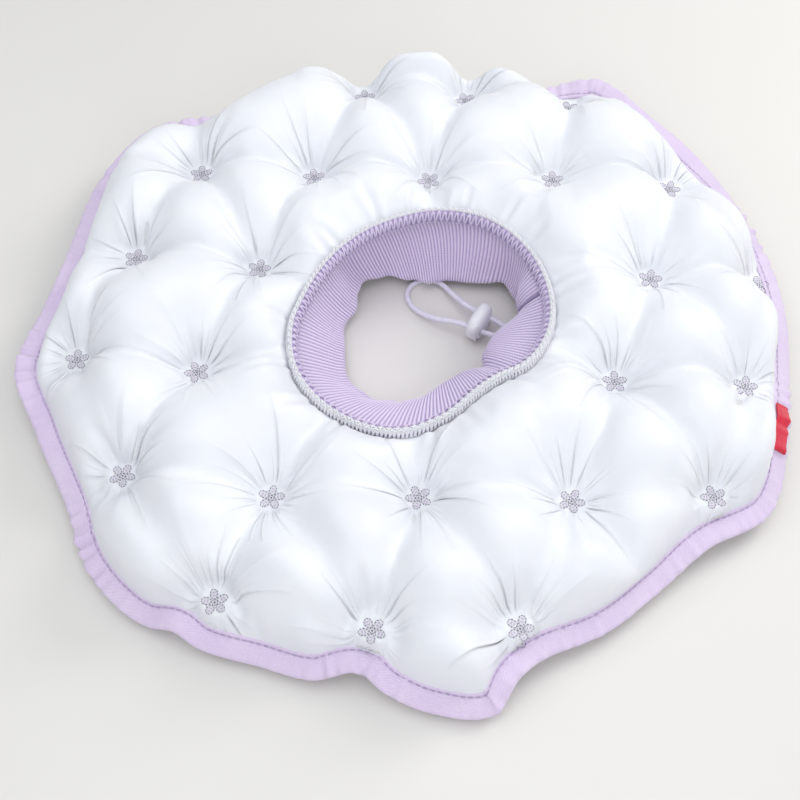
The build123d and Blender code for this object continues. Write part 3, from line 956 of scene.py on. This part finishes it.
def make_filling(cloth, faces):
    """The fibre inside, a little smaller than the cloth round it."""
    mesh = plain_mesh("filling_shape", cloth * MM, faces)
    normals = values_of(mesh.vertices, "normal", 3)
    bpy.data.meshes.remove(mesh)
    form = Form()
    form.add(cloth - normals * FILL_INSET, faces)
    piece = form.build("fibre_filling", "fibre_fill", [fibre_material()])


# ------------------------------------------------------------------ the edge binding


def gathering(turn):
    """From 0 to 1: how tightly the tape is gathered at each turn."""
    found = np.full(len(turn), 0.14)
    for place, width in GATHERS:
        found += 0.86 * bump_at((np.degrees(turn) - place + 180) % 360 - 180, 0, width)
    return np.clip(found, 0, 1)


def tape_surface(turn, inward_by, up_by):
    """Points of the tape at each turn, for distances in from the fold and out of its upper face."""
    fold, inward, face = tape_frame(turn)
    reach = lengths(fold)
    ripple = np.sin(reach * FULL / 7.5 + 1.6 * np.sin(reach / 19)) + 0.6 * np.sin(reach * FULL / 12.3)
    ripple += 0.7 * np.sin(reach * FULL / 4.6 + 2.2 * np.sin(reach / 31))
    ripple *= (0.55 + 0.3 * np.sin(reach / 17 + 0.8) + 0.15 * np.sin(reach / 7.3)) * gathering(turn)
    in_by = np.asarray(inward_by, float)
    up_by = np.asarray(up_by) + ripple[:, None] * (1 - 0.75 * np.clip(in_by / TAPE_W, 0, 1))[None, :]
    return fold[:, None] + inward[:, None] * in_by[None, :, None] + face[:, None] * up_by[..., None]


def make_binding():
    turn = np.linspace(-math.pi, math.pi, 1500, endpoint=False)
    lip = TAPE_W - TAPE_LIP
    # The section of the tape's upper half: distances in from the fold and up
    upper = [
        (0.0, 0.0), (0.25, 0.8), (0.9, 1.35), (2.0, TAPE_HALF), (4.0, 1.45), (6.0, 1.3), (lip - 0.7, 1.15),
        (lip - 0.1, 0.72), (lip + 0.15, 0.72), (lip + 0.6, 1.15), (lip + 1.4, 1.1), (TAPE_W - 0.1, 0.75),
        (TAPE_W, 0.3), (TAPE_W - 0.6, 0.0),
    ]
    outline = np.array(upper + [(a, -b) for a, b in upper[-2:0:-1]])
    points = tape_surface(turn, outline[:, 0], outline[:, 1])
    along, over = lengths(points[:, 4], closed=True), lengths(outline, closed=True)
    form = Form()
    form.grid(points, around=True, across=True, along=along, over=over)
    form.build("edge_binding_tape", "edge_binding", [tape_material()])

    stitches = Form()
    reach = lengths(tape_surface(turn, [lip], [0.9])[:, 0], closed=True)
    starts = np.arange(0, reach[-1] - TOPSTITCH_PITCH, TOPSTITCH_PITCH)
    ends = starts + TOPSTITCH_PITCH - TOPSTITCH_GAP
    turns = np.append(turn, math.pi)
    start_turns, end_turns = np.interp(starts, reach, turns), np.interp(ends, reach, turns)
    face = tape_frame(start_turns)[2]
    for side in (1, -1):
        first, last = (tape_surface(at, [lip], [0.98 * side])[:, 0] for at in (start_turns, end_turns))
        add_stitches(stitches, first, last, face * 0.1 * side, 0.2)
    thread = thread_material("lavender_topstitch", (0.60, 0.48, 0.76), (0.78, 0.68, 0.91))
    stitches.build("binding_topstitch", "binding_stitching", [thread])


# ------------------------------------------------------------------ the cuff


def cuff_wall(turn, share):
    """Points[turn, share] of the cuff's inner face. share runs from 0 at the seam to 1 at the hem."""
    outward = outward_at(turn)
    seam = (SEAM_CURVE.points(turn) - outward * 1.5 - UP * 4.0)[:, None]
    waist, hem = WAIST_CURVE.points(turn)[:, None], HEM_CURVE.points(turn)[:, None]
    s = np.asarray(share)[None, :, None]
    wall = seam * 2 * (s - 0.5) * (s - 1) + waist * 4 * s * (1 - s) + hem * 2 * s * (s - 0.5)
    gathers = np.sin(turn * 7 + 1.6 * np.sin(turn * 2)) * 0.9
    gathers += np.sin(turn * 16 + 2 * np.sin(turn * 3)) * 0.4
    gathers *= 1 + 0.9 * bump_at(np.degrees(turn), 120, 45)
    wall += outward[:, None] * gathers[:, None, None] * smooth_step(s, 0.3, 1.0)
    wall += UP * (np.sin(turn * 6 + 0.5) * 0.5)[:, None, None] * smooth_step(s, 0.5, 1.0)
    return wall


def make_cuff():
    count = RIBS * POINTS_PER_RIB
    turn = np.arange(count) * FULL / count
    share = np.concatenate([np.linspace(0, 0.9, 40), np.linspace(0.92, 1.0, 7)])
    wall = cuff_wall(turn, share)
    # Into the cuff's cloth, away from the opening
    around = np.roll(wall, -1, axis=0) - np.roll(wall, 1, axis=0)
    out = unit(np.cross(np.gradient(wall, axis=1), around))
    rib = np.cos(turn * RIBS)
    rib = np.sign(rib) * np.abs(rib) ** 0.8
    hem_bulge = smooth_step(share, 0.86, 1.0) * 1.5
    inner = wall + out * (RIB_H * (1 - rib) * 0.5)[:, None, None] - out * (hem_bulge * 0.5)[None, :, None]
    outer = wall + out * (CUFF_T + hem_bulge + RIB_H * 0.3 * rib[:, None])[..., None]
    # The rounded fold of the hem
    low, half = (inner[:, -1] + outer[:, -1]) / 2, (outer[:, -1] - inner[:, -1]) / 2
    down = unit(wall[:, -1] - wall[:, -2]) * np.linalg.norm(half, axis=1)[:, None]
    bottom = [low - half * math.cos(a) + down * math.sin(a) for a in np.radians([30, 60, 90, 120, 150])]
    points = np.concatenate([inner, np.stack(bottom, axis=1), outer[:, ::-1][:, ::2]], axis=1)
    points[:, :, 2] = np.maximum(points[:, :, 2], 0.4)
    along, over = np.arange(count + 1) / POINTS_PER_RIB, lengths(points[0], closed=True)
    form = Form()
    form.grid(points, around=True, across=True, along=along, over=over)
    form.build("knitted_rib_cuff", "rib_cuff", [rib_material()])
    make_side_seam()
    make_hem_cord()


def make_side_seam():
    """The ridge where the knitted band's ends are joined, with its ladder of stitches."""
    turn = np.radians(SIDE_SEAM_TURN + np.array([-0.6, 0.0, 0.6]))
    wall = cuff_wall(turn, np.linspace(0.04, 0.5, 60))
    side = unit(wall[2] - wall[0])
    out = unit(np.cross(np.gradient(wall[1], axis=0), side))
    line = wall[1] - out * 0.25
    form = Form()
    add_thread(form, line, 0.42, sides=8)
    picks = np.arange(1, 58, 2)
    starts, ends = line[picks] - side[picks] * 0.9, line[picks + 1] + side[picks] * 0.9
    add_stitches(form, starts, ends, -out[picks] * 0.45, 0.2, mark=1)
    knit = thread_material("cuff_seam_ridge", (0.30, 0.22, 0.46), (0.50, 0.40, 0.68))
    thread = thread_material("cuff_seam_thread", (0.40, 0.30, 0.60), (0.66, 0.56, 0.82))
    form.build("cuff_side_seam_ridge", "cuff_side_seam", [knit, thread])


def make_hem_cord():
    """The part of the drawcord that runs inside the hem, between its two exits."""
    exits = np.degrees(polar(np.array(CORD_ROUTE)[[0, -1]], HEM)[1])
    turn = np.radians(np.linspace(exits[0] + 3, exits[1] + 357, 240))
    form = Form()
    add_thread(form, cuff_wall(turn, [1.0])[:, 0] + outward_at(turn) * 1.6, CORD_D / 2, sides=12)
    form.build("drawcord_inside_hem", "drawcord_in_hem", [cord_material()])


def beside_seam(turn, out, up):
    """Points beside the seam's top edge, at distances out from it and up."""
    out, up = np.asarray(out)[..., None], np.asarray(up)[..., None]
    return SEAM_CURVE.points(turn) + outward_at(turn) * out + UP * up


def make_overlock():
    """The overlocked edge of the neck seam: a cloth core, zigzags inside and out, and a braid on top."""
    out, up = OVERLOCK_MIDDLE
    turn = np.arange(720) * FULL / 720
    lumps = 0.12 * np.sin(turn * 61) + 0.1 * np.sin(turn * 97 + 1)
    core = [
        beside_seam(turn, out + (1.9 + lumps) * np.cos(a), up + (3.1 + lumps) * np.sin(a))
        for a in np.linspace(0, FULL, 14, endpoint=False)[::-1]
    ]
    form = Form()
    along = lengths(SEAM_CURVE.points(turn), closed=True)
    form.grid(np.stack(core, axis=1), around=True, across=True, along=along, over=np.arange(15.0))

    t = np.arange(OVERLOCK_STITCHES * POINTS_PER_STITCH)
    turns, phase = t * FULL / len(t), t * FULL / POINTS_PER_STITCH
    swing = np.arcsin(np.sin(phase)) * 2 / math.pi
    wobble = 0.12 * np.sin(t * 0.37)
    # A lavender looper thread over the inner face and the top, and two white ones over the outer face
    for half_turns, wide, high, radius, mark in (
        (0.83 + 0.33 * swing, 2.3, 3.45 + wobble, 0.42, 1),
        (0.10 + 0.36 * swing, 2.25 + wobble, 3.4, 0.52, 2),
        (0.10 - 0.36 * swing, 2.3, 3.45, 0.45, 2),
    ):
        angle = math.pi * half_turns
        line = beside_seam(turns, out + wide * np.cos(angle), up + high * np.sin(angle))
        add_thread(form, line, radius, mark, closed=True)
    # Braid where the loopers meet, along the top edge
    for shift in (0.0, math.pi):
        wide, high = 0.588 * np.cos(phase + shift), 0.338 * np.sin(phase * 2 + shift)
        add_thread(form, beside_seam(turns, 0.3 + wide, 1.0 + high), 0.46, mark=2, closed=True)
    # Needle thread, below the zigzag on the inner face
    needle = turns[::4]
    low = beside_seam(needle, -2.75, -3.6)
    add_stitches(form, low, np.roll(low, -1, axis=0), -outward_at(needle) * 0.15, 0.2, mark=1)
    core_cloth = thread_material("overlock_core_cloth", (0.42, 0.33, 0.57), (0.60, 0.50, 0.74), 0.9)
    lilac = thread_material("overlock_lavender_thread", (0.70, 0.58, 0.85), (0.90, 0.83, 0.97))
    pale = thread_material("overlock_white_thread", (0.82, 0.81, 0.87), (0.93, 0.93, 0.96))
    form.build("neck_overlock_stitching", "cuff_overlock_seam", [core_cloth, lilac, pale])


# ------------------------------------------------------------------ the embroidered tufts


def make_tufts():
    chance = np.random.default_rng(7)
    outline = thread_material("plum_embroidery_thread", (0.20, 0.13, 0.24), (0.42, 0.32, 0.48), 0.5)
    satin = thread_material("pale_embroidery_thread", (0.78, 0.74, 0.85), (0.88, 0.86, 0.93), 0.45)
    for number, tuft in enumerate(TUFTS, start=1):
        form = Form()
        spin = chance.uniform(-0.5, 0.5)
        for side in (1, -1):
            add_flower(form, tuft + UP * side * (PATCH_HALF + 0.12), side, spin, chance)
        add_thread(form, tuft + UP * PATCH_HALF * np.array([[-1], [0], [1]]), 0.6, mark=1, sides=8)
        node = f"tuft_{number:02d}"
        form.build(f"embroidered_{node}", node, [outline, satin])


def add_flower(form, centre, side, spin, chance):
    """Five ringed petals and a ringed eye in short stitches, on pale satin."""
    lift = UP * side * 0.16

    def place(x, y, rise=0.0):
        x, y = x * FLOWER_SIZE, y * FLOWER_SIZE
        dish = PATCH_DISH * (math.hypot(x, y) / PATCH_R) ** 2
        return centre + np.array([x, y, side * (rise + dish)])

    def loop(cx, cy, heading, long_r, short_r, count, radius):
        starts, ends = [], []
        for k in range(count):
            for a, found in ((k + 0.12, starts), (k + 0.92, ends)):
                angle = a * FULL / count
                r = 1 + chance.uniform(-0.07, 0.07)
                dx, dy = long_r * r * math.cos(angle), short_r * r * math.sin(angle)
                found.append(place(
                    cx + dx * math.cos(heading) - dy * math.sin(heading),
                    cy + dx * math.sin(heading) + dy * math.cos(heading),
                ))
        add_stitches(form, starts, ends, lift, radius)

    for n in range(PETALS):
        heading = math.pi / 2 + spin + n * FULL / PETALS
        cx, cy = PETAL_OUT * math.cos(heading), PETAL_OUT * math.sin(heading)
        # The petal's satin pad: a middle point and two rings of eight
        pad = [place(cx, cy, 0.16)]
        for radius, rise in ((0.7, 0.13), (1.25, -0.05)):
            for a in np.arange(8) * FULL / 8:
                pad.append(place(cx + radius * math.cos(a), cy + radius * math.sin(a), rise))
        faces = [(0, 1 + k, 1 + (k + 1) % 8)[::side] for k in range(8)]
        form.add(pad[:9], faces, mark=1)
        ring = np.array(pad[1:]).reshape(2, 8, 3)
        form.grid(ring[::-side], across=True, mark=1)
        for sizes in PETAL_RINGS:
            loop(cx, cy, heading, *sizes)
    loop(0, 0, 0, *EYE_RING)
    for angle in (0.3, 1.9):
        dx, dy = 0.45 * math.cos(angle), 0.45 * math.sin(angle)
        add_stitches(form, [place(-dx, -dy, 0.1)], [place(dx, dy, 0.1)], lift * 1.4, 0.24)


# ------------------------------------------------------------------ the side label


def make_label():
    """A red ribbon folded in two, caught at the tape's inner edge and lying on its upper face."""
    centre = math.radians(LABEL_TURN)
    along = np.linspace(-0.5, 0.5, 17) * LABEL_LENGTH
    turn = centre + along / EDGE_CURVE.at(centre)[0, 0]
    # Distances in from the fold and above the tape: the upper layer out to the fold, and the lower one back
    profile = np.array([
        (9.4, 1.9), (8.2, 2.1), (7.0, 2.4), (5.2, 2.7), (3.6, 2.85), (3.05, 2.5), (3.0, 2.15), (3.5, 1.9),
        (5.2, 1.9), (7.0, 1.8), (8.2, 1.65), (9.2, 1.55),
    ])
    steps = np.linspace(0, len(profile) - 1, 45)
    curve = np.column_stack([np.interp(steps, range(len(profile)), profile[:, k]) for k in (0, 1)])
    form = Form()
    points = tape_surface(turn, curve[:, 0], curve[:, 1])
    form.grid(points, along=along + LABEL_LENGTH / 2, over=lengths(curve))
    piece = form.build("red_side_ribbon", "side_label", [ribbon_material()])
    thick = piece.modifiers.new("thickness", "SOLIDIFY")
    thick.thickness = LABEL_T * MM
    thick.offset = 0


# ------------------------------------------------------------------ the drawcord and its lock


def metres(place):
    return tuple(v * MM for v in place)


def route_points(route):
    """Points along a smooth curve with the route's points as its control points."""
    data = bpy.data.curves.new("cord_route", "CURVE")
    data.dimensions = "3D"
    data.resolution_u = 24
    spline = data.splines.new("NURBS")
    spline.points.add(len(route) - 1)
    for point, place in zip(spline.points, route):
        point.co = (*metres(place), 1)
    spline.order_u = 3
    spline.use_endpoint_u = True
    holder = add_object("cord_route", data)
    bpy.context.view_layer.update()
    mesh = bpy.data.meshes.new_from_object(holder)
    points = np.array([v.co[:] for v in mesh.vertices]) / MM
    bpy.data.objects.remove(holder)
    bpy.data.meshes.remove(mesh)
    return points


def make_cord(lock_pieces):
    """The loop of braided elastic that the lock slides on."""
    path = route_points(CORD_ROUTE)
    reach = lengths(path)
    steps = np.linspace(0, reach[-1], 420)
    line = np.column_stack([np.interp(steps, reach, path[:, k]) for k in range(3)])
    sides = 20
    turn = np.arange(sides) * FULL / sides
    braid = np.sin(steps[:, None] * 1.9 + turn[None] * 4) * np.sin(steps[:, None] * 1.9 - turn[None] * 4)
    radius = CORD_D / 2 - 0.05 + 0.07 * braid
    form = Form()
    over = np.linspace(0, FULL * CORD_D / 2, sides + 1)
    form.grid(tube(line, radius[..., None], sides), across=True, along=steps, over=over, capped=True)
    piece = form.build("elastic_drawcord_loop", "drawcord_loop", [cord_material()])
    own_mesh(piece)


def make_lock():
    """The lock's pieces: the barrel, the button, which is the CAD's own, and the spring."""
    plastic = plastic_material()
    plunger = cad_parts["lock_plunger"]
    plunger.data.materials.clear()
    plunger.data.materials.append(plastic)
    return [make_barrel(plastic), plunger, make_spring()]


def make_spring():
    low, high = (np.array(corner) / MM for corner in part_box("lock_spring"))
    middle = (low + high) / 2
    turn = np.linspace(0, SPRING_TURNS * FULL, SPRING_TURNS * 28 + 1)
    height = np.linspace(low[2] + SPRING_WIRE_R, high[2] - SPRING_WIRE_R, len(turn))
    coil_r = (high[0] - low[0]) / 2 - SPRING_WIRE_R
    line = np.column_stack([middle[0] + coil_r * np.cos(turn), middle[1] + coil_r * np.sin(turn), height])
    form = Form()
    add_thread(form, line, SPRING_WIRE_R)
    steel = steel_material()
    piece = form.build("coiled_lock_spring", "lock_spring", [steel], body="cord_lock")
    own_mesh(piece)
    return piece


def make_barrel(plastic):
    """The barrel with its outside moulded round over the button's well, as a fine even mesh."""
    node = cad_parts["lock_barrel"]
    source = node.copy()
    source.data = node.data.copy()
    bpy.context.scene.collection.objects.link(source)
    remesh = source.modifiers.new("even", "REMESH")
    remesh.mode, remesh.voxel_size = "VOXEL", BARREL_STEP * MM
    fine = evaluated(source)
    matrix = np.array(node.matrix_world)
    world = (values_of(fine.vertices, "co", 3) @ matrix[:3, :3].T + matrix[:3, 3]) / MM
    faces = values_of(fine.loops, "vertex_index", 1, int).reshape(-1, 4)
    bpy.data.objects.remove(source)
    across = np.array(LOCK_SIDE)
    through = np.array([LOCK_SIDE[1], -LOCK_SIDE[0], 0.0])
    middle = (world.max(axis=0) + world.min(axis=0)) / 2
    middle[2] = LOCK_ANCHOR[2]
    offset = world - middle
    u, v, w = offset @ through, offset @ across, offset[:, 2]
    # Over the well the outside becomes a dome, as wide and as high as the CAD's block
    high = np.clip(w - DOME_LOW, 0, None)
    section = np.abs(u / DOME_SIZE[0]) ** 2.2 + (high / DOME_SIZE[2]) ** 2.2
    reach = (section ** (3 / 2.2) + np.abs(v / DOME_SIZE[1]) ** 3) ** (1 / 3)
    clear = np.max([(np.abs(u) - WELL[0]) / 1.4, (np.abs(v) - WELL[1]) / 1.8, (w - WELL[2]) / 1.2], axis=0)
    scale = 1 + (1 / reach - 1) * smooth_step(clear, 0.0, 0.25)
    height = w + high * (scale - 1)
    world = middle + through * (u * scale)[:, None] + across * (v * scale)[:, None] + UP * height[:, None]
    form = Form()
    form.add(relaxed(world, faces, clear < 0.1, 10), faces)
    piece = form.build("moulded_lock_barrel", "lock_barrel", [plastic], body="cord_lock")
    return piece


# ------------------------------------------------------------------ table, lights and camera


def look_at(thing, place, target):
    thing.location = Vector(place) * MM
    thing.rotation_euler = (Vector(target) - Vector(place)).to_track_quat("-Z", "Y").to_euler()


def add_light(name, place, size, power, colour):
    light = bpy.data.lights.new(name, "AREA")
    light.shape = "SQUARE"
    light.size = size * MM
    light.energy = power
    light.color = colour
    look_at(add_object(name, light), place, (0, 0, 0))


def make_surroundings():
    floor = table_plane("table", 4.0)
    floor.data.materials.append(table_material())
    world = bpy.data.worlds.new("studio")
    world.use_nodes = True
    background = world.node_tree.nodes["Background"]
    background.inputs["Color"].default_value = (0.93, 0.96, 1.0, 1)
    background.inputs["Strength"].default_value = 0.50
    bpy.context.scene.world = world
    add_light("window", (620, 420, 560), 420, 3.3, (1.0, 0.985, 0.96))
    add_light("ceiling", (-160, 40, 850), 900, 3.2, (0.95, 0.97, 1.0))
    add_light("front_fill", (160, -720, 470), 600, 1.9, (0.97, 0.98, 1.0))
    bpy.context.scene.view_settings.view_transform = "Standard"


def make_camera():
    data = bpy.data.cameras.new("camera")
    data.lens = LENS
    data.sensor_width = 36.0
    data.clip_start = 0.01
    camera = add_object("camera", data)
    back = np.array([0.0, -math.cos(CAMERA_RISE), math.sin(CAMERA_RISE)])
    look_at(camera, AIM + back * CAMERA_FAR, AIM)
    bpy.context.scene.camera = camera


make_camera()
make_cord(make_lock())
make_puffs()
make_binding()
make_cuff()
make_overlock()
make_tufts()
make_label()
make_surroundings()
